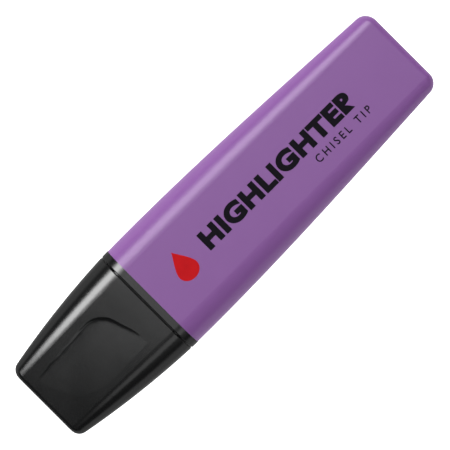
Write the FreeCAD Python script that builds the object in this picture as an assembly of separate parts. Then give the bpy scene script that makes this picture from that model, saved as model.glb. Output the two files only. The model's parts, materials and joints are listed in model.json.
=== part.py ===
"""Highlighter marker: a tapered barrel with a push-on cap, a chisel nib and a fibre ink reservoir.

The parts are built along the marker's own axis and laid down at the end.
  X runs along the marker towards its rear, and X = 0 is the front face of the collar.
  Y runs across the broad faces, and Z through the thickness.
Laid down, the barrel's lower broad face rests on Z = 0 and the origin is below the middle.
All lengths are in millimetres and all angles in degrees.
"""
import FreeCAD, Part
import math
import os

Vector = FreeCAD.Vector
X_AXIS = Vector(1, 0, 0)
Y_AXIS = Vector(0, 1, 0)
Z_AXIS = Vector(0, 0, 1)

# ---- Outside ----
BODY_WIDTH = 26.6
BODY_THICKNESS = 17.0
BODY_CORNER_RADIUS = 5.4
BARREL_LENGTH = 73.3
COLLAR_LENGTH = 1.7
COLLAR_PROUD = 0.06
RIM_GAP = 0.25
RIM_ROUNDING = 0.2

REAR_WIDTH = 21.4
REAR_THICKNESS = 14.4
REAR_CORNER_RADIUS = 2.9
REAR_FACE_ROUNDING = 1.4
REAR_SIDE_ROUNDING = 2.7
BARREL_FRONT_SPREAD = 0.73
BARREL_REAR_TAPER = 3.02

CAP_LENGTH = 29.75
CAP_END_WIDTH = 19.55
CAP_END_THICKNESS = 10.6
CAP_END_CORNER_RADIUS = 2.5
CAP_END_FACE_ROUNDING = 1.1
CAP_END_SIDE_ROUNDING = 2.2
CAP_MOUTH_SIDE_TAPER = 2.47
CAP_END_SIDE_TAPER = 11.1
CAP_MOUTH_FACE_TAPER = 1.5
CAP_END_FACE_TAPER = 10.0

# ---- Thumb scoop in each broad face of the cap ----
SCOOP_DEPTH = 0.26
SCOOP_FROM_MOUTH = 6.4
SCOOP_WALL_Y = 6.35
SCOOP_WALL_LEAN = 38.0
SCOOP_WALL_TURN = 4.5
SCOOP_TOP_SLANT = 17.0
SCOOP_CORNER_RADIUS = 4.0
SCOOP_DEEP_LENGTH = 1.5
SCOOP_FADE_LENGTH = 18.0
SCOOP_DEEP_WIDTH = 2.2
SCOOP_FADE_WIDTH = 10.8
SCOOP_LIFT = 0.015
SCOOP_GRID_STEP = 0.3

# ---- Walls ----
BARREL_WALL = 1.4
BARREL_END_WALL = 1.6
CAP_WALL = 1.6
CAP_END_WALL = 1.5
PLUG_WALL = 1.0
NECK_WALL = 1.2
NECK_FRONT_WALL = 1.4

# ---- Neck and plug of the front section ----
NECK_LENGTH = 7.0
NECK_CLEARANCE = 0.35
NECK_EDGE_ROUNDING = 0.6
PLUG_LENGTH = 10.0
PLUG_CLEARANCE = 0.05
CATCH_HEIGHT = 0.3
CATCH_CLEARANCE = 0.1
CATCH_FROM_COLLAR = 6.0
CATCH_SPAN = 7.0
CATCH_LENGTH = 1.6

# ---- Snap ribs that hold the cap ----
SNAP_FROM_COLLAR = 3.2
SNAP_SPAN = 8.0
SNAP_HEIGHT = 0.27
SNAP_WIDTH = 1.5
SNAP_GROOVE_DEPTH = 0.15

# ---- Nozzle and nib ----
NOZZLE_LENGTH = 7.6
NOZZLE_BASE_WIDTH = 13.2
NOZZLE_BASE_THICKNESS = 9.8
NOZZLE_BASE_RADIUS = 2.6
NOZZLE_TIP_WIDTH = 9.4
NOZZLE_TIP_THICKNESS = 6.8
NOZZLE_TIP_RADIUS = 1.9
NOZZLE_EDGE_ROUNDING = 0.45
VENT_WIDTH = 1.0
VENT_DEPTH = 0.5
GRIP_RIB_WIDTH = 0.6

NIB_WIDTH = 5.0
NIB_THICKNESS = 3.6
NIB_CORNER_RADIUS = 0.45
NIB_STICK_OUT = 6.2
NIB_SLANT = 24.0
NIB_BEVEL_ANGLE = 17.0
NIB_EDGE_THICKNESS = 1.3
NIB_CLEARANCE = 0.12
NIB_TANG_DEPTH = 5.0

# ---- Ink reservoir ----
CORE_WIDTH = 18.0
CORE_THICKNESS = 10.4
CORE_CORNER_RADIUS = 4.0
CORE_LENGTH = 58.0
CORE_FROM_COLLAR_FACE = 3.0
CORE_TANG_CLEARANCE = 0.05
FILM_THICKNESS = 0.2
FILM_OVERHANG = 0.5

# ---- Ribs inside the barrel and the front section ----
RIB_THICKNESS = 0.9
RIB_CLEARANCE = 0.1
RIB_SPACING = 9.0
RIB_START_GAP = 1.5
STOP_OVERLAP = 1.6

# ---- Sealing cup inside the cap ----
SEAL_CLEARANCE = 0.15
SEAL_WALL = 0.8
SEAL_END_WALL = 0.8
SEAL_RIM_GAP = 0.7
SEAL_END_WIDTH = 9.0
SEAL_END_THICKNESS = 6.0
SEAL_END_RADIUS = 1.6
SEAL_NIB_ROOM = 4.6
SEAL_RIB_THICKNESS = 0.8
SEAL_RIB_SETBACK = 9.0
SEAL_BOSS_WIDTH = 6.0
SEAL_BOSS_THICKNESS = 3.6

# ---- Moulding marks ----
GATE_RADIUS = 1.1
GATE_DEPTH = 0.15

# ---- Sizes that follow from the ones above ----
ARC_WEIGHT = math.cos(math.pi / 4)
TOLERANCE = 1e-6
OVERCUT = 1.0
BARREL_FRONT_X = COLLAR_LENGTH
REAR_X = COLLAR_LENGTH + BARREL_LENGTH
CAP_MOUTH_X = -RIM_GAP
CAP_END_X = CAP_MOUTH_X - CAP_LENGTH
NECK_FRONT_X = -NECK_LENGTH
NOZZLE_TIP_X = NECK_FRONT_X - NOZZLE_LENGTH
NIB_TIP_X = NOZZLE_TIP_X - NIB_STICK_OUT
CORE_FRONT_X = CORE_FROM_COLLAR_FACE
CORE_REAR_X = CORE_FRONT_X + CORE_LENGTH
TANG_REAR_X = CORE_FRONT_X + NIB_TANG_DEPTH
NIB_CUTTER_REACH = 2 * NIB_WIDTH
SEAL_RIM_X = NECK_FRONT_X - SEAL_RIM_GAP
SEAL_INNER_END_X = NIB_TIP_X - SEAL_NIB_ROOM
SEAL_END_X = SEAL_INNER_END_X - SEAL_END_WALL
SCOOP_TOP_X = CAP_MOUTH_X - SCOOP_FROM_MOUTH
MIDDLE_X = (REAR_X + CAP_END_X) / 2
LYING_TILT = math.degrees(math.atan2((BODY_THICKNESS - REAR_THICKNESS) / 2, REAR_X))


# ---- Profiles: a station is (x, half width, half thickness, corner radius) ----

def cubic_ordinates(start, end, start_slope, end_slope, length):
    """Four control values of a cubic that leaves start and reaches end at the given slopes."""
    third = length / 3
    return [
        start,
        start + math.tan(math.radians(start_slope)) * third,
        end - math.tan(math.radians(end_slope)) * third,
        end,
    ]


def cubic_profile(x_start, x_end, half_widths, half_thicknesses, start_radius, end_radius):
    """Control stations of a taper whose flat faces keep straight edges between the two corner radii."""
    start_flat = half_widths[0] - start_radius
    end_flat = half_widths[3] - end_radius
    stations = []
    for index in range(4):
        share = index / 3
        flat = start_flat + (end_flat - start_flat) * share
        x = x_start + (x_end - x_start) * share
        stations.append((x, half_widths[index], half_thicknesses[index], half_widths[index] - flat))
    return stations


def blend(first, second, share):
    """A station a share of the way from the first to the second."""
    return tuple(a + (b - a) * share for a, b in zip(first, second))


def blossom(stations, shares):
    """The polar form of a profile: one round of straight blends for each share."""
    points = list(stations)
    for share in shares:
        points = [blend(points[i], points[i + 1], share) for i in range(len(points) - 1)]
    return points[0]


def share_of(stations, x):
    """How far along a profile a place lies, from 0 at its first station to 1 at its last."""
    return (x - stations[0][0]) / (stations[-1][0] - stations[0][0])


def station_at(stations, x):
    """The cross-section of a profile at one place."""
    return blossom(stations, [share_of(stations, x)] * (len(stations) - 1))


def stretch(stations, x_from, x_to):
    """Control stations of the part of a profile between two places."""
    a = share_of(stations, x_from)
    b = share_of(stations, x_to)
    degree = len(stations) - 1
    return [blossom(stations, [a] * (degree - i) + [b] * i) for i in range(degree + 1)]


def inset(stations, wall):
    """The same profile moved inwards by a wall, or outwards by a negative one."""
    return [(x, width - wall, thickness - wall, radius - wall) for x, width, thickness, radius in stations]


def straight_profile(x_from, x_to, width, thickness, radius):
    """A profile with the same section all along."""
    return [(x, width / 2, thickness / 2, radius) for x in (x_from, x_to)]


# ---- Solids ----

def section_strips(station):
    """Straight sides and quarter-circle corners round one section, as lists of (point, weight)."""
    x, half_width, half_thickness, radius = station
    corners = []
    for index, (y_sign, z_sign) in enumerate(((1, 1), (1, -1), (-1, -1), (-1, 1))):
        on_face = Vector(x, y_sign * (half_width - radius), z_sign * half_thickness)
        on_side = Vector(x, y_sign * half_width, z_sign * (half_thickness - radius))
        control = Vector(x, y_sign * half_width, z_sign * half_thickness)
        first, last = (on_face, on_side) if index % 2 == 0 else (on_side, on_face)
        corners.append([(first, 1), (control, ARC_WEIGHT), (last, 1)])
    strips = []
    for index, corner in enumerate(corners):
        strips.append([corners[index - 1][-1], corner[0]])
        strips.append(corner)
    return strips


def strip_edge(strip):
    """The line or arc along one strip of a section."""
    curve = Part.BSplineCurve()
    points = [point for point, weight in strip]
    weights = [weight for point, weight in strip]
    curve.buildFromPolesMultsKnots(points, [len(strip)] * 2, [0, 1], False, len(strip) - 1, weights)
    return curve.toShape()


def lengthwise_face(rows):
    """The surface through the matching strips of every control station, as a true plane where it is flat."""
    points = [[point for point, weight in row] for row in rows]
    weights = [[weight for point, weight in row] for row in rows]
    along = len(rows)
    across = len(rows[0])
    surface = Part.BSplineSurface()
    surface.buildFromPolesMultsKnots(
        points, [along] * 2, [across] * 2, [0, 1], [0, 1], False, False, along - 1, across - 1, weights
    )
    face = surface.toShape()
    return Part.Face(face.findPlane(), face.OuterWire) if surface.isPlanar(TOLERANCE) else face


def tapered_solid(stations):
    """A closed rounded box that follows a profile."""
    grid = [section_strips(station) for station in sorted(stations)]
    faces = [lengthwise_face(rows) for rows in zip(*grid)]
    for strips in (grid[0], grid[-1]):
        faces.append(Part.Face(Part.Wire([strip_edge(strip) for strip in strips])))
    shell = Part.makeShell(faces)
    shell.sewShape()
    return Part.makeSolid(shell)


def box_between(x_range, y_range, z_range):
    """A box given by its limits along each axis."""
    low = Vector(min(x_range), min(y_range), min(z_range))
    size = Vector(abs(x_range[1] - x_range[0]), abs(y_range[1] - y_range[0]), abs(z_range[1] - z_range[0]))
    return Part.makeBox(size.x, size.y, size.z, low)


def end_edges(solid, x):
    """Numbers and edges of the outline that lies in the plane at x."""
    found = []
    for number, edge in enumerate(solid.Edges, start=1):
        if all(abs(vertex.X - x) < TOLERANCE for vertex in edge.Vertexes):
            found.append((number, edge))
    return found


def round_outline(solid, x, radius):
    """Round the outline at one end with a single radius."""
    return solid.makeFillet(radius, [edge for number, edge in end_edges(solid, x)])


def round_end(solid, station, face_radius, side_radius):
    """Round one end with one radius along the broad faces, blending into another along the sides."""
    x, half_width, half_thickness, corner_radius = station

    def radius_at(vertex):
        on_face = abs(abs(vertex.Z) - half_thickness) < TOLERANCE
        return face_radius if on_face else side_radius

    document = FreeCAD.newDocument("rounding")
    base = document.addObject("Part::Feature", "Base")
    base.Shape = solid
    rounding = document.addObject("Part::Fillet", "Rounding")
    rounding.Base = base
    rounding.Edges = [
        (number, radius_at(edge.firstVertex()), radius_at(edge.lastVertex()))
        for number, edge in end_edges(solid, x)
    ]
    document.recompute()
    rounded = rounding.Shape.copy()
    FreeCAD.closeDocument(document.Name)
    return rounded.Solids[0]


def half_turned(shape):
    """The same shape on the opposite broad face: turned half way round the long axis."""
    turned = shape.copy()
    turned.rotate(Vector(), X_AXIS, 180)
    return turned


def gate_mark(x, inward):
    """The shallow round dimple that moulding leaves in an end face."""
    start = Vector(x - OVERCUT * inward, 0, 0)
    return Part.makeCylinder(GATE_RADIUS, GATE_DEPTH + OVERCUT, start, X_AXIS * inward)


# ---- Profiles of the parts ----

def barrel_profile():
    """Outside of the barrel, carried forward under the collar by the same flat faces."""
    widths = cubic_ordinates(
        BODY_WIDTH / 2, REAR_WIDTH / 2, BARREL_FRONT_SPREAD, -BARREL_REAR_TAPER, BARREL_LENGTH
    )
    face_slope = (REAR_THICKNESS - BODY_THICKNESS) / 2 / REAR_X
    front_half_thickness = BODY_THICKNESS / 2 + face_slope * COLLAR_LENGTH
    step = face_slope * BARREL_LENGTH / 3
    thicknesses = [front_half_thickness + step * index for index in range(4)]
    return cubic_profile(
        BARREL_FRONT_X, REAR_X, widths, thicknesses, BODY_CORNER_RADIUS, REAR_CORNER_RADIUS
    )


def cap_profile():
    """Outside of the cap, from its mouth to its closed end."""
    widths = cubic_ordinates(
        BODY_WIDTH / 2, CAP_END_WIDTH / 2, -CAP_MOUTH_SIDE_TAPER, -CAP_END_SIDE_TAPER, CAP_LENGTH
    )
    thicknesses = cubic_ordinates(
        BODY_THICKNESS / 2, CAP_END_THICKNESS / 2, -CAP_MOUTH_FACE_TAPER, -CAP_END_FACE_TAPER, CAP_LENGTH
    )
    return cubic_profile(
        CAP_MOUTH_X, CAP_END_X, widths, thicknesses, BODY_CORNER_RADIUS, CAP_END_CORNER_RADIUS
    )


def collar_profile():
    """Outside of the collar: the barrel's flat faces carried forward, a little proud at the sides."""
    stations = stretch(barrel_profile(), 0, BARREL_FRONT_X)
    return [
        (x, half_width + COLLAR_PROUD, half_thickness, radius + COLLAR_PROUD)
        for x, half_width, half_thickness, radius in stations
    ]


def neck_profile():
    """Outside of the neck: the inside of the cap less the clearance."""
    return stretch(inset(cap_profile(), CAP_WALL + NECK_CLEARANCE), 0, NECK_FRONT_X)


def plug_profile():
    """Outside of the plug: the inside of the barrel less the clearance."""
    cavity = inset(barrel_profile(), BARREL_WALL + PLUG_CLEARANCE)
    return stretch(cavity, BARREL_FRONT_X, BARREL_FRONT_X + PLUG_LENGTH)


def nozzle_profile():
    """Outside of the nozzle that carries the nib."""
    return [
        (NECK_FRONT_X, NOZZLE_BASE_WIDTH / 2, NOZZLE_BASE_THICKNESS / 2, NOZZLE_BASE_RADIUS),
        (NOZZLE_TIP_X, NOZZLE_TIP_WIDTH / 2, NOZZLE_TIP_THICKNESS / 2, NOZZLE_TIP_RADIUS),
    ]


def core_profile():
    """Outside of the fibre core."""
    return straight_profile(CORE_FRONT_X, CORE_REAR_X, CORE_WIDTH, CORE_THICKNESS, CORE_CORNER_RADIUS)


def seal_profile():
    """Inside of the sealing cup: it clears the nozzle's base and narrows beyond the nib."""
    rim = inset(nozzle_profile(), -SEAL_CLEARANCE)[0]
    return [
        (SEAL_RIM_X,) + rim[1:],
        (SEAL_INNER_END_X, SEAL_END_WIDTH / 2, SEAL_END_THICKNESS / 2, SEAL_END_RADIUS),
    ]


# ---- Barrel ----

def rib_limits(gap):
    """The (y limits, z limits) of each rib round the reservoir, whose tips leave a gap to it."""
    half_width = CORE_WIDTH / 2 + FILM_THICKNESS + gap
    half_thickness = CORE_THICKNESS / 2 + FILM_THICKNESS + gap
    outside = BODY_WIDTH
    half_rib = RIB_THICKNESS / 2
    ribs = []
    for sign in (1, -1):
        for y in (-RIB_SPACING / 2, RIB_SPACING / 2):
            ribs.append(((y - half_rib, y + half_rib), (sign * half_thickness, sign * outside)))
        ribs.append(((sign * half_width, sign * outside), (-half_rib, half_rib)))
    return ribs


def barrel_ribs(cavity, inner_end_x):
    """Long ribs that centre the reservoir, and deeper ones behind it that stop it."""
    locating_start = BARREL_FRONT_X + PLUG_LENGTH + RIB_START_GAP
    pieces = []
    for y_range, z_range in rib_limits(RIB_CLEARANCE):
        pieces.append(box_between((locating_start, CORE_REAR_X), y_range, z_range))
    for y_range, z_range in rib_limits(-STOP_OVERLAP):
        pieces.append(box_between((CORE_REAR_X, inner_end_x), y_range, z_range))
    return [piece.common(cavity) for piece in pieces]


def catch_bars(height, margin):
    """Bars across both broad faces of the plug, where it snaps into the barrel."""
    x = BARREL_FRONT_X + CATCH_FROM_COLLAR
    half_thickness = station_at(plug_profile(), x)[2]
    bar = box_between(
        (x - CATCH_LENGTH / 2 - margin, x + CATCH_LENGTH / 2 + margin),
        (-CATCH_SPAN / 2 - margin, CATCH_SPAN / 2 + margin),
        (half_thickness - PLUG_WALL / 2, half_thickness + height),
    )
    return [bar, half_turned(bar)]


def make_barrel():
    """Hollow barrel, closed at the rear, with ribs round the reservoir."""
    profile = barrel_profile()
    outside = round_end(tapered_solid(profile), profile[-1], REAR_FACE_ROUNDING, REAR_SIDE_ROUNDING)
    inner_end_x = REAR_X - BARREL_END_WALL
    inside = stretch(inset(profile, BARREL_WALL), BARREL_FRONT_X - OVERCUT, inner_end_x)
    cavity = tapered_solid(inside)
    snap_pockets = catch_bars(CATCH_HEIGHT + CATCH_CLEARANCE, CATCH_CLEARANCE)
    barrel = outside.cut([cavity, gate_mark(REAR_X, -1)])
    barrel = barrel.cut(snap_pockets)
    return barrel.fuse(barrel_ribs(cavity, inner_end_x))


# ---- Front section ----

def snap_rods(grow):
    """Rods whose crowns stand out of the neck's broad faces and hold the cap."""
    x = -SNAP_FROM_COLLAR
    half_width = SNAP_WIDTH / 2
    radius = (half_width ** 2 + SNAP_HEIGHT ** 2) / (2 * SNAP_HEIGHT)
    crown = station_at(neck_profile(), x)[2] + SNAP_HEIGHT
    rod = Part.makeCylinder(radius + grow, SNAP_SPAN, Vector(x, -SNAP_SPAN / 2, crown - radius), Y_AXIS)
    return [rod, half_turned(rod)]


def core_stops(inside_neck):
    """Ribs in the neck that the front of the fibre core rests against."""
    half_rib = RIB_THICKNESS / 2
    x_range = (NECK_FRONT_X + NECK_FRONT_WALL, CORE_FRONT_X)
    z_range = (CORE_THICKNESS / 2 - STOP_OVERLAP, BODY_THICKNESS)
    stops = []
    for y in (-RIB_SPACING / 2, RIB_SPACING / 2):
        stop = box_between(x_range, (y - half_rib, y + half_rib), z_range)
        stops.extend([stop, half_turned(stop)])
    return [stop.common(inside_neck) for stop in stops]


def nib_channel():
    """The hole that the nib slides into, with vent grooves above and below it."""
    reach = (NOZZLE_TIP_X - OVERCUT, NECK_FRONT_X + NECK_FRONT_WALL + OVERCUT)
    bore = tapered_solid(
        straight_profile(
            reach[0], reach[1], NIB_WIDTH + 2 * NIB_CLEARANCE, NIB_THICKNESS + 2 * NIB_CLEARANCE,
            NIB_CORNER_RADIUS + NIB_CLEARANCE,
        )
    )
    half_height = NIB_THICKNESS / 2 + NIB_CLEARANCE + VENT_DEPTH
    vents = box_between(reach, (-VENT_WIDTH / 2, VENT_WIDTH / 2), (-half_height, half_height))
    return bore.fuse(vents)


def grip_ribs():
    """Small ribs in the channel that press on the nib's two narrow sides."""
    side = NIB_WIDTH / 2
    ribs = []
    for sign in (1, -1):
        ribs.append(
            box_between(
                (NOZZLE_TIP_X + OVERCUT, NECK_FRONT_X),
                (sign * side, sign * (side + NIB_CLEARANCE + GRIP_RIB_WIDTH)),
                (-GRIP_RIB_WIDTH / 2, GRIP_RIB_WIDTH / 2),
            )
        )
    return ribs


def make_front_section():
    """Collar, plug, neck and nozzle in one moulding."""
    collar_solid = round_outline(tapered_solid(collar_profile()), 0, RIM_ROUNDING)
    neck = neck_profile()
    plug = plug_profile()
    neck_solid = round_outline(tapered_solid(neck), NECK_FRONT_X, NECK_EDGE_ROUNDING)
    nozzle_solid = round_outline(tapered_solid(nozzle_profile()), NOZZLE_TIP_X, NOZZLE_EDGE_ROUNDING)
    outside = collar_solid.fuse([neck_solid, tapered_solid(plug), nozzle_solid])
    outside = outside.fuse(snap_rods(0) + catch_bars(CATCH_HEIGHT, 0))

    neck_cavity = stretch(neck, BARREL_FRONT_X, NECK_FRONT_X + NECK_FRONT_WALL)
    plug_cavity = stretch(plug, BARREL_FRONT_X, BARREL_FRONT_X + PLUG_LENGTH + OVERCUT)
    inside_neck = tapered_solid(inset(neck_cavity, NECK_WALL))
    inside_plug = tapered_solid(inset(plug_cavity, PLUG_WALL))
    hollow = outside.cut([inside_neck, inside_plug])
    hollow = hollow.cut(nib_channel())
    stops = core_stops(inside_neck.fuse(inside_plug))
    return hollow.fuse(stops + grip_ribs()).removeSplitter()


# ---- Nib ----

def nib_bevel():
    """Wedge cut from one side of the nib's tip, with the tip's edge at the origin."""
    slope = math.tan(math.radians(NIB_BEVEL_ANGLE))
    low = NIB_EDGE_THICKNESS / 2 - slope * OVERCUT
    high = NIB_THICKNESS / 2 + slope * OVERCUT
    heel_x = (high - low) / slope - OVERCUT
    outline = Part.makePolygon(
        [
            Vector(-OVERCUT, -NIB_CUTTER_REACH, low),
            Vector(heel_x, -NIB_CUTTER_REACH, high),
            Vector(-OVERCUT, -NIB_CUTTER_REACH, high),
            Vector(-OVERCUT, -NIB_CUTTER_REACH, low),
        ]
    )
    return Part.Face(outline).extrude(Y_AXIS * 2 * NIB_CUTTER_REACH)


def slanted(shape):
    """Turn a tip cutter to the nib's slant and bring it to the tip."""
    half_slant_length = math.tan(math.radians(NIB_SLANT)) * NIB_WIDTH / 2
    placed = shape.copy()
    placed.rotate(Vector(), Z_AXIS, -NIB_SLANT)
    placed.translate(Vector(NIB_TIP_X + half_slant_length, 0, 0))
    return placed


def make_nib():
    """Felt chisel nib with a slanted tip, bevelled on both sides."""
    bar = tapered_solid(
        straight_profile(NIB_TIP_X, TANG_REAR_X, NIB_WIDTH, NIB_THICKNESS, NIB_CORNER_RADIUS)
    )
    reach = (-NIB_CUTTER_REACH, NIB_CUTTER_REACH)
    beyond_tip = slanted(box_between((0, -NIB_CUTTER_REACH), reach, reach))
    upper_bevel = slanted(nib_bevel())
    lower_bevel = upper_bevel.mirror(Vector(), Z_AXIS)
    return bar.cut([beyond_tip, upper_bevel, lower_bevel])


# ---- Reservoir ----

def make_reservoir_core():
    """Fibre core with a socket for the nib's tang."""
    socket = straight_profile(
        CORE_FRONT_X - OVERCUT, TANG_REAR_X, NIB_WIDTH + 2 * CORE_TANG_CLEARANCE,
        NIB_THICKNESS + 2 * CORE_TANG_CLEARANCE, NIB_CORNER_RADIUS + CORE_TANG_CLEARANCE,
    )
    return tapered_solid(core_profile()).cut(tapered_solid(socket))


def make_reservoir_film():
    """Film wrapped round the core, open at both ends."""
    core = core_profile()
    inner = stretch(core, CORE_FRONT_X - OVERCUT, CORE_REAR_X + OVERCUT)
    outer = stretch(inset(core, -FILM_THICKNESS), CORE_FRONT_X + FILM_OVERHANG, CORE_REAR_X - FILM_OVERHANG)
    return tapered_solid(outer).cut(tapered_solid(inner))


# ---- Cap ----

def clamped(value):
    """A value held between 0 and 1."""
    return min(max(value, 0), 1)


def scoop_depth_at(x, y):
    """How far a scoop lies below the face: leaning walls round a floor that fades out sideways and along."""
    slant = math.radians(SCOOP_TOP_SLANT)
    turn = math.radians(SCOOP_WALL_TURN)
    from_side = (SCOOP_WALL_Y - y) * math.cos(turn) - (SCOOP_TOP_X - x) * math.sin(turn)
    from_top = (SCOOP_TOP_X - x) * math.cos(slant) - y * math.sin(slant)
    missing = math.hypot(max(SCOOP_CORNER_RADIUS - from_side, 0), max(SCOOP_CORNER_RADIUS - from_top, 0))
    wall = math.tan(math.radians(SCOOP_WALL_LEAN)) * max(SCOOP_CORNER_RADIUS - missing, 0)
    along = clamped((from_top - SCOOP_DEEP_LENGTH) / SCOOP_FADE_LENGTH)
    across = clamped((from_side - SCOOP_DEEP_WIDTH) / SCOOP_FADE_WIDTH)
    floor = (SCOOP_DEPTH + SCOOP_LIFT) * (1 - along) * (1 - across)
    return min(wall, floor) - SCOOP_LIFT


def evenly(start, end):
    """Places from start to end, about one grid step apart."""
    count = round(abs(end - start) / SCOOP_GRID_STEP)
    return [start + (end - start) * index / count for index in range(count + 1)]


def soft_sheet(rows):
    """A cubic surface that follows a grid of points loosely, which rounds every crease in it."""
    degree = 3
    mults = []
    for count in (len(rows), len(rows[0])):
        mults.append([degree + 1] + [1] * (count - degree - 1) + [degree + 1])
    knots = [list(range(len(row))) for row in mults]
    surface = Part.BSplineSurface()
    surface.buildFromPolesMultsKnots(rows, mults[0], mults[1], knots[0], knots[1], False, False, degree, degree)
    return surface.toShape()


def make_scoop_cutter(profile):
    """The space above the scoop's smooth floor, which lies just above the face all round it."""
    lengthwise = evenly(SCOOP_TOP_X - SCOOP_DEEP_LENGTH - SCOOP_FADE_LENGTH - OVERCUT, SCOOP_TOP_X + OVERCUT)
    crosswise = evenly(SCOOP_WALL_Y - SCOOP_DEEP_WIDTH - SCOOP_FADE_WIDTH - OVERCUT, SCOOP_WALL_Y + OVERCUT)
    rows = []
    for x in lengthwise:
        face_z = station_at(profile, x)[2]
        rows.append([Vector(x, y, face_z - scoop_depth_at(x, y)) for y in crosswise])
    return soft_sheet(rows).extrude(Vector(0, 0, SCOOP_DEPTH + OVERCUT))


def seal_ribs(cavity, seal_outside):
    """Fins from the cap's walls that hold the sealing cup at its closed end."""
    start_x = SEAL_END_X + SEAL_RIB_SETBACK
    half_rib = SEAL_RIB_THICKNESS / 2
    across = box_between((start_x, SEAL_END_X), (-BODY_WIDTH, BODY_WIDTH), (-half_rib, half_rib))
    boss = box_between(
        (SEAL_END_X, CAP_END_X),
        (-SEAL_BOSS_WIDTH / 2, SEAL_BOSS_WIDTH / 2),
        (-SEAL_BOSS_THICKNESS / 2, SEAL_BOSS_THICKNESS / 2),
    )
    return [across.common(cavity).cut(seal_outside), boss.common(cavity)]


def make_cap_shell():
    """Hollow cap with a thumb scoop in each broad face."""
    profile = cap_profile()
    outside = round_end(tapered_solid(profile), profile[-1], CAP_END_FACE_ROUNDING, CAP_END_SIDE_ROUNDING)
    outside = round_outline(outside, CAP_MOUTH_X, RIM_ROUNDING)
    scoop = make_scoop_cutter(profile)
    inside = stretch(inset(profile, CAP_WALL), CAP_MOUTH_X + OVERCUT, CAP_END_X + CAP_END_WALL)
    cavity = tapered_solid(inside)
    hollow = outside.cut([scoop, half_turned(scoop)])
    hollow = hollow.cut([cavity, gate_mark(CAP_END_X, 1)])
    hollow = hollow.cut(snap_rods(NECK_CLEARANCE - SNAP_HEIGHT + SNAP_GROOVE_DEPTH))
    seal_outside = tapered_solid(seal_shell_profile())
    return hollow.fuse(seal_ribs(cavity, seal_outside))


def seal_shell_profile():
    """Outside of the sealing cup, from its rim to its closed end."""
    return stretch(inset(seal_profile(), -SEAL_WALL), SEAL_RIM_X, SEAL_END_X)


def make_inner_cap():
    """Sealing cup that closes round the nozzle and keeps the nib from drying."""
    inside = stretch(seal_profile(), SEAL_RIM_X + OVERCUT, SEAL_INNER_END_X)
    return tapered_solid(seal_shell_profile()).cut(tapered_solid(inside))


# ---- Laying the marker down ----

def laid_down(shape):
    """Tilt the marker so that its barrel lies flat, with the origin below the middle of its length."""
    tilt = math.radians(LYING_TILT)
    half_thickness = BODY_THICKNESS / 2 - MIDDLE_X * math.tan(tilt)
    placed = shape.copy()
    placed.translate(Vector(-MIDDLE_X, 0, 0))
    placed.rotate(Vector(), Y_AXIS, LYING_TILT)
    placed.translate(Vector(0, 0, half_thickness * math.cos(tilt)))
    return placed


def main():
    os.makedirs("parts", exist_ok=True)
    nodes = {
        "barrel": make_barrel(),
        "front_section": make_front_section(),
        "chisel_nib": make_nib(),
        "reservoir_core": make_reservoir_core(),
        "reservoir_film": make_reservoir_film(),
        "cap_shell": make_cap_shell(),
        "inner_cap": make_inner_cap(),
    }
    for name, shape in nodes.items():
        laid_down(shape).exportStep("parts/" + name + ".step")
        print(name, shape.isValid(), len(shape.Solids), len(shape.Faces), round(shape.Volume, 1))


main()
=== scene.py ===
import bmesh
import bpy
import json
import math
from mathutils import Matrix, Vector


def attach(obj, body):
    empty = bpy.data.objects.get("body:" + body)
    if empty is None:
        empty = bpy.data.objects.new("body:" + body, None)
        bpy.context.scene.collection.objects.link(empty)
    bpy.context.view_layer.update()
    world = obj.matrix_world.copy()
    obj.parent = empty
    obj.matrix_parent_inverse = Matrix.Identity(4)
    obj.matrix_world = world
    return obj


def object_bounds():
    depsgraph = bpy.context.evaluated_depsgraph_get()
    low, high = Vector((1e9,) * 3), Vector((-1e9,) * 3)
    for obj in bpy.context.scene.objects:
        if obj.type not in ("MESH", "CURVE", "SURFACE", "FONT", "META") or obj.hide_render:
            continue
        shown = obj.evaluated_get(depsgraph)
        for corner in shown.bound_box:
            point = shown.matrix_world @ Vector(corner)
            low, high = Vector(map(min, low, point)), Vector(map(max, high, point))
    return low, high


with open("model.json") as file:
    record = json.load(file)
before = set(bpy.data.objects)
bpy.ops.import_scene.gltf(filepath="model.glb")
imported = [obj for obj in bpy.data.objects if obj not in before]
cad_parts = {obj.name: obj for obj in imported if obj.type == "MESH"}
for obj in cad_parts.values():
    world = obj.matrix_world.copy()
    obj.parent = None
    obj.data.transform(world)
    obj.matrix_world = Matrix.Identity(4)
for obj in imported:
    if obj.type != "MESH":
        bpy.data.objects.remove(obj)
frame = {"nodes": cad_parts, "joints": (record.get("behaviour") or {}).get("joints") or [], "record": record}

cad_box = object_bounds()

# ---------------------------------------------------------------- the marker's own axes
# Places are (x, y, z): x along the marker, 0 at the rear end and falling towards the cap, y across the
# broad faces and z out of the printed face.
MM = 0.001
SLIDE = Vector(frame["joints"][0]["axis"]).normalized()
MOUNTS = {mount["name"]: mount for mount in frame["record"]["mounts"]}
REAR_POINT = Vector(MOUNTS["rear_end"]["pos_m"])
REAR = Vector((REAR_POINT.x, 0, REAR_POINT.z))
ALONG = -SLIDE
ACROSS = Vector((0, 1, 0))
OUT = ALONG.cross(ACROSS)
MARKER = Matrix((
    (ALONG.x, ACROSS.x, OUT.x, REAR.x),
    (ALONG.y, ACROSS.y, OUT.y, REAR.y),
    (ALONG.z, ACROSS.z, OUT.z, REAR.z),
    (0, 0, 0, 1),
))
LENGTH = (Vector(cad_box[1]) - Vector(cad_box[0])).x


def at(x, y, z):
    """A place in the row frame, from the marker's own axes, in metres."""
    return MARKER @ Vector((x, y, z))


# ---------------------------------------------------------------- node helpers
WEAR_REACH = 5 * MM
LINE_CORE = 0.02 * MM
LINE_EDGE = 0.09 * MM


def new_material(name):
    material = bpy.data.materials.new(name)
    material.use_nodes = True
    return material


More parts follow.
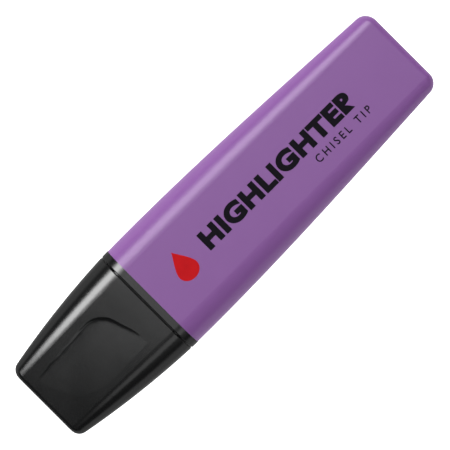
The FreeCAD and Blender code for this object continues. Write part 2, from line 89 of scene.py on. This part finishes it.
def connect(tree, value, socket):
    """Feeds a socket from another node's output, or sets it to a constant."""
    if isinstance(value, bpy.types.NodeSocket):
        tree.links.new(value, socket)
    else:
        socket.default_value = value


def calculate(tree, operation, first, second):
    made = tree.nodes.new("ShaderNodeMath")
    made.operation = operation
    connect(tree, first, made.inputs[0])
    connect(tree, second, made.inputs[1])
    return made.outputs[0]


def ranged(tree, value, from_range, to_range, kind="SMOOTHSTEP"):
    """The value carried from one range to another, held at the ends."""
    made = tree.nodes.new("ShaderNodeMapRange")
    made.interpolation_type = kind
    connect(tree, value, made.inputs["Value"])
    for name, number in zip(("From Min", "From Max", "To Min", "To Max"), from_range + to_range):
        made.inputs[name].default_value = number
    return made.outputs["Result"]


def measured(tree, vector, axis):
    """How far a vector reaches along an axis."""
    made = tree.nodes.new("ShaderNodeVectorMath")
    made.operation = "DOT_PRODUCT"
    tree.links.new(vector, made.inputs[0])
    made.inputs[1].default_value = axis
    return made.outputs["Value"]


def noise(tree, size, detail=2.0, stretch=1.0):
    """Noise with features of this size in metres, drawn out along the marker by the stretch."""
    place = tree.nodes.new("ShaderNodeTexCoord").outputs["Object"]
    mapping = tree.nodes.new("ShaderNodeMapping")
    mapping.inputs["Scale"].default_value = (1 / (size * stretch), 1 / size, 1 / size)
    made = tree.nodes.new("ShaderNodeTexNoise")
    made.inputs["Scale"].default_value = 1.0
    made.inputs["Detail"].default_value = detail
    tree.links.new(place, mapping.inputs["Vector"])
    tree.links.new(mapping.outputs["Vector"], made.inputs["Vector"])
    return made.outputs["Fac"]


def tinted(tree, low, high, share):
    """A colour between two others."""
    made = tree.nodes.new("ShaderNodeMix")
    made.data_type = "RGBA"
    made.inputs["A"].default_value = low
    made.inputs["B"].default_value = high
    tree.links.new(share, made.inputs["Factor"])
    return made.outputs["Result"]


def bumped(tree, height, distance, strength, under=None):
    """Raises the surface by a height of 0 to 1 times the distance, over the bump under it, if any."""
    made = tree.nodes.new("ShaderNodeBump")
    made.inputs["Strength"].default_value = strength
    made.inputs["Distance"].default_value = distance
    tree.links.new(height, made.inputs["Height"])
    if under:
        tree.links.new(under, made.inputs["Normal"])
    return made.outputs["Normal"]


def shade(colour, factor):
    """The same colour, darker or lighter."""
    return tuple(channel * factor for channel in colour[:3]) + (1,)


def near_ends(tree):
    """1 at the marker's two ends, falling to 0 within a few millimetres."""
    place = tree.nodes.new("ShaderNodeTexCoord").outputs["Object"]
    along = measured(tree, place, (1, 0, 0))
    rear = ranged(tree, along, (cad_box[1][0] - WEAR_REACH, cad_box[1][0]), (0, 1))
    front = ranged(tree, along, (cad_box[0][0], cad_box[0][0] + WEAR_REACH), (1, 0))
    return calculate(tree, "MAXIMUM", rear, front)


def parting_line(tree):
    """A fine moulding line round the marker, midway between the broad faces."""
    place = tree.nodes.new("ShaderNodeTexCoord").outputs["Object"]
    height = calculate(tree, "SUBTRACT", measured(tree, place, OUT), OUT.dot(REAR))
    height = calculate(tree, "ABSOLUTE", height, 0)
    return ranged(tree, height, (LINE_CORE, LINE_EDGE), (1, 0))


# ---------------------------------------------------------------- materials
LAVENDER = (0.254, 0.099, 0.345, 1)
BLACK = (0.0042, 0.0045, 0.0047, 1)
INK_BLACK = (0.0075, 0.006, 0.010, 1)
INK_RED = (0.57, 0.010, 0.014, 1)
FELT = (0.30, 0.15, 0.42, 1)
FIBRE = (0.42, 0.28, 0.56, 1)
SEAL = (0.62, 0.62, 0.60, 1)
SCUFF_ROUGHNESS = 0.05
WEAR_ROUGHNESS = 0.03
WEAR_TINT = 0.4
CLOUD_ROUGHNESS = 0.015


def moulded(name, colour, roughness, specular, peel, subsurface=0.0, sheen=0.0):
    """Moulded plastic: faint orange peel, cloudy gloss, hairline scuffs and worn ends."""
    material = new_material(name)
    tree = material.node_tree
    shader = tree.nodes["Principled BSDF"]
    shader.inputs["Specular IOR Level"].default_value = specular
    shader.inputs["Subsurface Weight"].default_value = subsurface
    shader.inputs["Sheen Weight"].default_value = sheen
    shader.inputs["Sheen Roughness"].default_value = 0.35
    shader.inputs["Subsurface Radius"].default_value = (1, 0.6, 1)
    shader.inputs["Subsurface Scale"].default_value = 0.4 * MM
    cloud = noise(tree, 9 * MM)
    scuffs = ranged(tree, noise(tree, 0.16 * MM, detail=3.0, stretch=22.0), (0.66, 0.74), (0, 1))
    patches = ranged(tree, noise(tree, 5 * MM), (0.5, 0.7), (0, 1))
    scuffs = calculate(tree, "MULTIPLY", scuffs, patches)
    wear = ranged(tree, noise(tree, 0.7 * MM, detail=4.0), (0.6, 0.72), (0, 1))
    wear = calculate(tree, "MULTIPLY", wear, near_ends(tree))
    base = tinted(tree, shade(colour, 0.975), shade(colour, 1.025), cloud)
    worn = tree.nodes.new("ShaderNodeMix")
    worn.data_type = "RGBA"
    tree.links.new(base, worn.inputs["A"])
    worn.inputs["B"].default_value = shade(colour, 1.15)
    tree.links.new(calculate(tree, "MULTIPLY", wear, WEAR_TINT), worn.inputs["Factor"])
    tree.links.new(worn.outputs["Result"], shader.inputs["Base Color"])
    gloss = (roughness - CLOUD_ROUGHNESS, roughness + CLOUD_ROUGHNESS)
    rough = ranged(tree, cloud, (0.3, 0.7), gloss, "LINEAR")
    marks = calculate(
        tree, "ADD",
        calculate(tree, "MULTIPLY", scuffs, SCUFF_ROUGHNESS),
        calculate(tree, "MULTIPLY", wear, WEAR_ROUGHNESS),
    )
    tree.links.new(calculate(tree, "ADD", rough, marks), shader.inputs["Roughness"])
    waves = noise(tree, 0.9 * MM, detail=1.0)
    normal = bumped(tree, waves, distance=0.01 * MM, strength=peel)
    grain = noise(tree, 0.12 * MM)
    normal = bumped(tree, grain, distance=0.001 * MM, strength=peel, under=normal)
    normal = bumped(tree, parting_line(tree), distance=0.02 * MM, strength=0.4, under=normal)
    tree.links.new(normal, shader.inputs["Normal"])
    return material


def fibrous(name, colour, size, stretch, depth):
    """Bonded fibres soaked with ink, all running along the marker."""
    material = new_material(name)
    tree = material.node_tree
    shader = tree.nodes["Principled BSDF"]
    shader.inputs["Specular IOR Level"].default_value = 0.25
    shader.inputs["Sheen Weight"].default_value = 0.25
    shader.inputs["Sheen Roughness"].default_value = 0.4
    strands = noise(tree, size, detail=3.0, stretch=stretch)
    blotches = noise(tree, 20 * size, stretch=1.5)
    tone = calculate(tree, "MULTIPLY", ranged(tree, strands, (0.3, 0.7), (0.75, 1)), blotches)
    tone = ranged(tree, tone, (0.3, 0.6), (0, 1))
    tree.links.new(tinted(tree, shade(colour, 0.7), shade(colour, 1.15), tone), shader.inputs["Base Color"])
    tree.links.new(ranged(tree, strands, (0.3, 0.7), (0.95, 0.7)), shader.inputs["Roughness"])
    normal = bumped(tree, strands, distance=depth, strength=0.7)
    fuzz = noise(tree, size / 2)
    normal = bumped(tree, fuzz, distance=depth / 2, strength=0.4, under=normal)
    tree.links.new(normal, shader.inputs["Normal"])
    return material


def printed(name, colour):
    """A thin screen-printed ink film, a little uneven where the screen's mesh has left it."""
    material = new_material(name)
    tree = material.node_tree
    shader = tree.nodes["Principled BSDF"]
    shader.inputs["Specular IOR Level"].default_value = 0.06
    grain = noise(tree, 0.06 * MM)
    cloud = noise(tree, 2.5 * MM)
    tree.links.new(tinted(tree, shade(colour, 0.85), shade(colour, 1.2), cloud), shader.inputs["Base Color"])
    tree.links.new(ranged(tree, cloud, (0.3, 0.7), (0.3, 0.38), "LINEAR"), shader.inputs["Roughness"])
    tree.links.new(bumped(tree, grain, distance=0.002 * MM, strength=0.5), shader.inputs["Normal"])
    return material


def clear_film():
    """Thin clear film with faint lengthwise wrinkles."""
    material = new_material("clear_film")
    tree = material.node_tree
    shader = tree.nodes["Principled BSDF"]
    shader.inputs["Base Color"].default_value = (0.9, 0.88, 0.95, 1)
    shader.inputs["Transmission Weight"].default_value = 0.9
    shader.inputs["IOR"].default_value = 1.45
    wrinkles = noise(tree, 0.8 * MM, stretch=8.0)
    tree.links.new(ranged(tree, wrinkles, (0.3, 0.7), (0.06, 0.16)), shader.inputs["Roughness"])
    tree.links.new(bumped(tree, wrinkles, distance=0.05 * MM, strength=0.4), shader.inputs["Normal"])
    return material


def make_materials():
    black = moulded("black_plastic", BLACK, roughness=0.21, specular=0.52, peel=0.25)
    lavender = moulded(
        "lavender_plastic", LAVENDER, roughness=0.3, specular=0.45, peel=0.3, subsurface=0.06, sheen=0.25,
    )
    return {
        "barrel": lavender,
        "front_section": black,
        "cap_shell": black,
        "chisel_nib": fibrous("nib_felt", FELT, size=0.05 * MM, stretch=10.0, depth=0.05 * MM),
        "reservoir_core": fibrous("reservoir_fibre", FIBRE, size=0.09 * MM, stretch=25.0, depth=0.1 * MM),
        "reservoir_film": clear_film(),
        "inner_cap": moulded("seal_plastic", SEAL, roughness=0.34, specular=0.45, peel=0.4, subsurface=0.3),
    }


# ---------------------------------------------------------------- prints
# The printed face is the underside turned half a turn about the marker's long axis. Print places are
# (x, y, z): x back from the barrel's front edge, y across and z out of the face.
BARREL_LENGTH = 73.3 * MM
INK_THICKNESS = 0.02 * MM
INK_SUNK = 0.01 * MM
WELD = 0.0005 * MM
CURVE_STEPS = 12
WORD_BOX = (15.35 * MM, 59.15 * MM, -1.87 * MM, 2.56 * MM)
SMALL_WORD_BOX = (43.97 * MM, 59.5 * MM, -5.0 * MM, -3.25 * MM)
DROP_BOX = (6.75 * MM, 11.75 * MM, -3.45 * MM, 3.75 * MM)
UNDERSIDE = Vector(MOUNTS["barrel_underside"]["pos_m"])
DOWN = Vector(MOUNTS["barrel_underside"]["axis"])


def half_turn(vector):
    return 2 * vector.dot(ALONG) * ALONG - vector


def printed_face():
    """The matrix from print places to the row frame."""
    normal = half_turn(DOWN)
    onward = ACROSS.cross(normal)
    point = REAR + half_turn(UNDERSIDE - REAR)
    edge = point + onward * ((at(-BARREL_LENGTH, 0, 0) - point).dot(ALONG) / onward.dot(ALONG))
    return Matrix((
        (onward.x, ACROSS.x, normal.x, edge.x),
        (onward.y, ACROSS.y, normal.y, edge.y),
        (onward.z, ACROSS.z, normal.z, edge.z),
        (0, 0, 0, 1),
    ))


def laid_ink(name, curve, box, material):
    """Turns a flat curve into a thin film of ink filling a box on the face: x low, x high, y low, y high."""
    curve.extrude = 0.5  # any depth will do, because the film is scaled to its thickness below
    curve.resolution_u = CURVE_STEPS
    source = bpy.data.objects.new(name, curve)
    bpy.context.scene.collection.objects.link(source)
    bpy.context.view_layer.update()
    mesh = bpy.data.meshes.new_from_object(source.evaluated_get(bpy.context.evaluated_depsgraph_get()))
    bpy.data.objects.remove(source)
    low = [min(vertex.co[axis] for vertex in mesh.vertices) for axis in range(3)]
    high = [max(vertex.co[axis] for vertex in mesh.vertices) for axis in range(3)]
    wanted = (box[0:2], box[2:4], (-INK_SUNK, INK_THICKNESS))
    face = printed_face()
    for vertex in mesh.vertices:
        shares = [(vertex.co[axis] - low[axis]) / (high[axis] - low[axis]) for axis in range(3)]
        place = [start + (end - start) * share for (start, end), share in zip(wanted, shares)]
        vertex.co = face @ Vector(place)
    clean = bmesh.new()
    clean.from_mesh(mesh)
    bmesh.ops.remove_doubles(clean, verts=clean.verts, dist=WELD)
    bmesh.ops.recalc_face_normals(clean, faces=clean.faces)
    clean.to_mesh(mesh)
    clean.free()
    mesh.name = name
    piece = bpy.data.objects.new(name, mesh)
    mesh.materials.clear()
    mesh.materials.append(material)
    bpy.context.scene.collection.objects.link(piece)
    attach(piece, "barrel")


def lettering(text, weight, spacing):
    """Plain generic capitals in Blender's own font, thickened by the weight."""
    curve = bpy.data.curves.new(text, "FONT")
    curve.body = text
    curve.offset = weight
    curve.space_character = spacing
    return curve


def drop_outline():
    """An ink drop with its tip at the top."""
    curve = bpy.data.curves.new("drop", "CURVE")
    curve.dimensions = "2D"
    curve.fill_mode = "BOTH"
    spline = curve.splines.new("BEZIER")
    corners = (
        ((0, 1.45), (0.1, 1.15), (-0.1, 1.15)),
        ((-0.74, -0.26), (-0.74, 0.22), (-0.74, -0.68)),
        ((0, -1), (-0.42, -1), (0.42, -1)),
        ((0.74, -0.26), (0.74, -0.68), (0.74, 0.22)),
    )
    spline.bezier_points.add(len(corners) - 1)
    for point, (place, left, right) in zip(spline.bezier_points, corners):
        point.co = (*place, 0)
        point.handle_left = (*left, 0)
        point.handle_right = (*right, 0)
    spline.use_cyclic_u = True
    return curve


def make_prints():
    black = printed("print_black", INK_BLACK)
    red = printed("print_red", INK_RED)
    word = lettering("HIGHLIGHTER", weight=0.06, spacing=1.12)
    laid_ink("print_word", word, WORD_BOX, black)
    small_word = lettering("CHISEL TIP", weight=0.012, spacing=1.5)
    laid_ink("print_small_word", small_word, SMALL_WORD_BOX, black)
    laid_ink("print_drop", drop_outline(), DROP_BOX, red)


for node_name, material in make_materials().items():
    frame["nodes"][node_name].material_slots[0].material = material
make_prints()


# ---------------------------------------------------------------- stage
FLOOR_REACH = 3.0
FLOOR_GAP = 0.03 * MM
FLOOR_GLOW = 1.7
LIGHT_DISTANCE = 0.5
LENS = 192
CAMERA_DISTANCE = 0.5032
AIM_ALONG = 0.419 * MM
AIM_ACROSS = -0.126 * MM

# The world's strength: each pair holds where a fade starts and ends, and its strength at both.
ROOM_BELOW = ((-0.5, 0.0), (0.4, 0.6))
ROOM_ABOVE = ((0.0, 0.3), (0.6, 0.06))
GLOW_SKIRT = ((-0.37, -0.2), (0, 0.24))
GLOW_CORE = ((-0.17, -0.1), (0, 1.0))
GLOW_REAR_END = ((0.35, 0.6), (1, 0))
GLOW_RIGHT_SIDE = ((-0.12, -0.03), (0.25, 1))
GLOW_LEFT_SIDE = ((0.15, 0.5), (1, 0))
GLOW_FOOT = ((0.3, 0.7), (0, 1))


def make_floor():
    material = new_material("floor_paper")
    shader = material.node_tree.nodes["Principled BSDF"]
    shader.inputs["Base Color"].default_value = (0.25, 0.25, 0.25, 1)
    shader.inputs["Roughness"].default_value = 0.9
    shader.inputs["Specular IOR Level"].default_value = 0.0
    shader.inputs["Emission Color"].default_value = (1, 1, 1, 1)
    shader.inputs["Emission Strength"].default_value = FLOOR_GLOW
    mesh = bpy.data.meshes.new("floor")
    corners = [(-1, -1), (1, -1), (1, 1), (-1, 1)]
    mesh.from_pydata([(x * FLOOR_REACH, y * FLOOR_REACH, 0) for x, y in corners], [], [(0, 1, 2, 3)])
    floor = bpy.data.objects.new("floor", mesh)
    floor.location.z = -FLOOR_GAP
    floor.data.materials.append(material)
    floor.visible_glossy = False
    bpy.context.scene.collection.objects.link(floor)


def leaning(across_angle, along_angle):
    """The direction that leans from the printed face's normal by these angles across and along."""
    across = math.tan(math.radians(across_angle))
    along = math.tan(math.radians(along_angle))
    return OUT + ACROSS * across + ALONG * along


def lit_alone(lamp, parts):
    """Screens a light off from everything but these parts."""
    lit = bpy.data.collections.new(lamp.name + "_parts")
    for part in parts:
        lit.objects.link(part)
    lamp.light_linking.receiver_collection = lit


def softbox(name, across, along, radiance, diffuse=True, glossy=True, parts=()):
    """A rectangular light that fills these angles, in degrees, as seen from the marker's middle."""
    light = bpy.data.lights.new(name, "AREA")
    light.shape = "RECTANGLE"
    light.size = 2 * LIGHT_DISTANCE * math.tan(math.radians((across[1] - across[0]) / 2))
    light.size_y = 2 * LIGHT_DISTANCE * math.tan(math.radians((along[1] - along[0]) / 2))
    light.energy = radiance * math.pi * light.size * light.size_y
    lamp = bpy.data.objects.new(name, light)
    back = leaning(sum(across) / 2, sum(along) / 2).normalized()
    side = ALONG.cross(back).normalized()
    top = back.cross(side)
    lamp.matrix_world = Matrix((
        (side.x, top.x, back.x, 0),
        (side.y, top.y, back.y, 0),
        (side.z, top.z, back.z, 0),
        (0, 0, 0, 1),
    ))
    lamp.location = at(-LENGTH / 2, 0, 0) + back * LIGHT_DISTANCE
    lamp.visible_camera = False
    lamp.visible_diffuse = diffuse
    lamp.visible_glossy = glossy
    if parts:
        lit_alone(lamp, parts)
    bpy.context.scene.collection.objects.link(lamp)


def make_lights():
    """Key and fill from the left, and a weak sheen and fill from the right."""
    nodes = frame["nodes"]
    barrel = [nodes["barrel"]]
    others = [node for name, node in nodes.items() if name != "barrel"]
    softbox("key_core", across=(18, 42), along=(-26, 12), radiance=8.5, diffuse=False, parts=others)
    softbox("key_halo", across=(10, 50), along=(-30, 13), radiance=5.5, diffuse=False, parts=others)
    softbox("soft_key", across=(17, 51), along=(-26, 24), radiance=5.4, diffuse=False, parts=barrel)
    softbox("right_sheen", across=(-40, -20), along=(-26, 15), radiance=1.0, diffuse=False, parts=others)
    softbox("key_fill", across=(15, 65), along=(-24, 24), radiance=3.75, glossy=False)
    softbox("right_fill", across=(-60, -10), along=(-24, 24), radiance=0.25, glossy=False)


def make_world():
    """A dim room with a pale horizon and a soft glow overhead that fades out towards the cap end."""
    world = bpy.data.worlds.new("studio")
    world.use_nodes = True
    tree = world.node_tree
    place = tree.nodes.new("ShaderNodeTexCoord").outputs["Generated"]
    up = measured(tree, place, (0, 0, 1))
    along = measured(tree, place, ALONG)
    across = measured(tree, place, ACROSS)
    room = ranged(tree, up, *ROOM_BELOW)
    room = calculate(tree, "MINIMUM", room, ranged(tree, up, *ROOM_ABOVE))
    glow = ranged(tree, along, *GLOW_SKIRT, "LINEAR")
    glow = calculate(tree, "ADD", glow, ranged(tree, along, *GLOW_CORE, "LINEAR"))
    glow = calculate(tree, "MULTIPLY", glow, ranged(tree, along, *GLOW_REAR_END))
    glow = calculate(tree, "MULTIPLY", glow, ranged(tree, across, *GLOW_RIGHT_SIDE))
    glow = calculate(tree, "MULTIPLY", glow, ranged(tree, across, *GLOW_LEFT_SIDE))
    glow = calculate(tree, "MULTIPLY", glow, ranged(tree, up, *GLOW_FOOT))
    strength = calculate(tree, "ADD", room, glow)
    tree.links.new(strength, tree.nodes["Background"].inputs["Strength"])
    tree.nodes["Background"].inputs["Color"].default_value = (1, 1, 1, 1)
    bpy.context.scene.world = world


def make_camera():
    """Square on to the printed face, rolled so that the marker lies along the picture's diagonal."""
    data = bpy.data.cameras.new("camera")
    data.sensor_width = 36
    data.lens = LENS
    camera = bpy.data.objects.new("camera", data)
    right = (ALONG - ACROSS).normalized()
    up = (ALONG + ACROSS).normalized()
    target = at(-LENGTH / 2 + AIM_ALONG, AIM_ACROSS, 0)
    place = target + OUT * CAMERA_DISTANCE
    camera.matrix_world = Matrix((
        (right.x, up.x, OUT.x, place.x),
        (right.y, up.y, OUT.y, place.y),
        (right.z, up.z, OUT.z, place.z),
        (0, 0, 0, 1),
    ))
    bpy.context.scene.collection.objects.link(camera)
    bpy.context.scene.camera = camera


make_floor()
make_lights()
make_world()
make_camera()
bpy.context.scene.view_settings.view_transform = "Standard"
